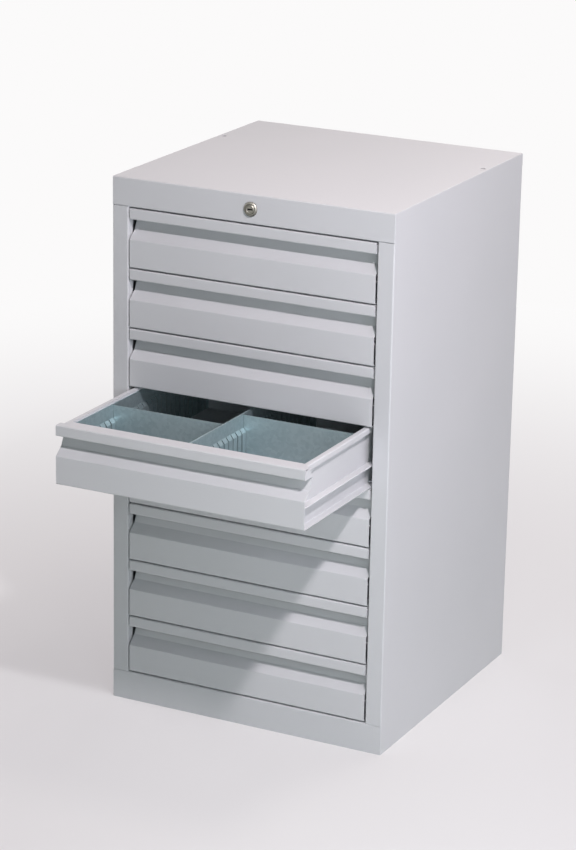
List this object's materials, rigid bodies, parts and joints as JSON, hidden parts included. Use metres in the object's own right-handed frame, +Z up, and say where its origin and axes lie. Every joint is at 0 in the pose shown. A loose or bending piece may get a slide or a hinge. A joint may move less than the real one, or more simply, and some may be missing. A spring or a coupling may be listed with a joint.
{
  "type": "drawer cabinet",
  "caption": "Steel small-parts cabinet: equal shallow drawers with pull lips, slotted dividers and runners, one key lock that holds them all, and a plinth.",
  "frame": {"origin": "on the floor at the centre of the carcass footprint", "axes": "+Z up, drawers open towards -Y, +X to the right as seen from the front"},
  "size_m": [0.4, 0.584, 0.72],
  "materials": {
    "grey_powder_coat": "light grey powder coat, satin, fine orange peel",
    "galvanised_sheet": "galvanised sheet, satin with a faint spangle",
    "zinc_plate": "bright zinc plate, satin",
    "nickel": "satin nickel plate",
    "nylon": "natural nylon"
  },
  "bodies": {
    "cabinet": {"top_panel": "grey_powder_coat", "right_side_panel": "grey_powder_coat", "left_side_panel": "grey_powder_coat", "plinth_rail": "grey_powder_coat", "base_panel": "grey_powder_coat", "back_panel": "grey_powder_coat", "front_posts": "zinc_plate", "rear_posts": "zinc_plate", "right_runners": "zinc_plate", "left_runners": "zinc_plate", "runner_rivets": "zinc_plate", "runner_glides": "nylon", "lock_cylinder": "nickel", "lock_nut": "nickel", "rod_bracket": "zinc_plate", "bar_guides": "zinc_plate"},
    "lock": {"lock_barrel": "nickel", "lock_rod": "zinc_plate"},
    "locking_bar": {"locking_bar": "zinc_plate"},
    "drawer_1": {"drawer_1_front": "grey_powder_coat", "drawer_1_tray": "grey_powder_coat", "drawer_1_glides": "nylon", "drawer_1_slotted_strips": "galvanised_sheet", "drawer_1_centre_divider": "galvanised_sheet"},
    "drawer_2": {"drawer_2_front": "grey_powder_coat", "drawer_2_tray": "grey_powder_coat", "drawer_2_glides": "nylon", "drawer_2_slotted_strips": "galvanised_sheet", "drawer_2_centre_divider": "galvanised_sheet"},
    "drawer_3": {"drawer_3_front": "grey_powder_coat", "drawer_3_tray": "grey_powder_coat", "drawer_3_glides": "nylon", "drawer_3_slotted_strips": "galvanised_sheet", "drawer_3_centre_divider": "galvanised_sheet"},
    "drawer_4": {"drawer_4_front": "grey_powder_coat", "drawer_4_tray": "grey_powder_coat", "drawer_4_glides": "nylon", "drawer_4_slotted_strips": "galvanised_sheet", "drawer_4_centre_divider": "galvanised_sheet", "drawer_4_cross_dividers": "galvanised_sheet"},
    "drawer_5": {"drawer_5_front": "grey_powder_coat", "drawer_5_tray": "grey_powder_coat", "drawer_5_glides": "nylon", "drawer_5_slotted_strips": "galvanised_sheet", "drawer_5_centre_divider": "galvanised_sheet"},
    "drawer_6": {"drawer_6_front": "grey_powder_coat", "drawer_6_tray": "grey_powder_coat", "drawer_6_glides": "nylon", "drawer_6_slotted_strips": "galvanised_sheet", "drawer_6_centre_divider": "galvanised_sheet"},
    "drawer_7": {"drawer_7_front": "grey_powder_coat", "drawer_7_tray": "grey_powder_coat", "drawer_7_glides": "nylon", "drawer_7_slotted_strips": "galvanised_sheet", "drawer_7_centre_divider": "galvanised_sheet"},
    "drawer_8": {"drawer_8_front": "grey_powder_coat", "drawer_8_tray": "grey_powder_coat", "drawer_8_glides": "nylon", "drawer_8_slotted_strips": "galvanised_sheet", "drawer_8_centre_divider": "galvanised_sheet"}
  },
  "joints": [
    {"name": "drawer_1_slide", "type": "slide", "parent": "cabinet", "child": "drawer_1", "axis": [0, -1, 0], "range_m": [0, 0.28]},
    {"name": "drawer_2_slide", "type": "slide", "parent": "cabinet", "child": "drawer_2", "axis": [0, -1, 0], "range_m": [0, 0.28]},
    {"name": "drawer_3_slide", "type": "slide", "parent": "cabinet", "child": "drawer_3", "axis": [0, -1, 0], "range_m": [0, 0.28]},
    {"name": "drawer_4_slide", "type": "slide", "parent": "cabinet", "child": "drawer_4", "axis": [0, -1, 0], "range_m": [-0.184, 0.096]},
    {"name": "drawer_5_slide", "type": "slide", "parent": "cabinet", "child": "drawer_5", "axis": [0, -1, 0], "range_m": [0, 0.28]},
    {"name": "drawer_6_slide", "type": "slide", "parent": "cabinet", "child": "drawer_6", "axis": [0, -1, 0], "range_m": [0, 0.28]},
    {"name": "drawer_7_slide", "type": "slide", "parent": "cabinet", "child": "drawer_7", "axis": [0, -1, 0], "range_m": [0, 0.28]},
    {"name": "drawer_8_slide", "type": "slide", "parent": "cabinet", "child": "drawer_8", "axis": [0, -1, 0], "range_m": [0, 0.28]},
    {"name": "lock_turn", "type": "hinge", "parent": "cabinet", "child": "lock", "pos_m": [0, -0.2, 0.701], "axis": [0, 1, 0], "range_deg": [0, 90]},
    {"name": "locking_bar_lift", "type": "slide", "parent": "cabinet", "child": "locking_bar", "axis": [0, 0, 1], "range_m": [0, 0.01131]}
  ],
  "couplings": [
    {"joint": "lock_turn", "follows": "locking_bar_lift", "rad_per_m": 138.84}
  ]
}
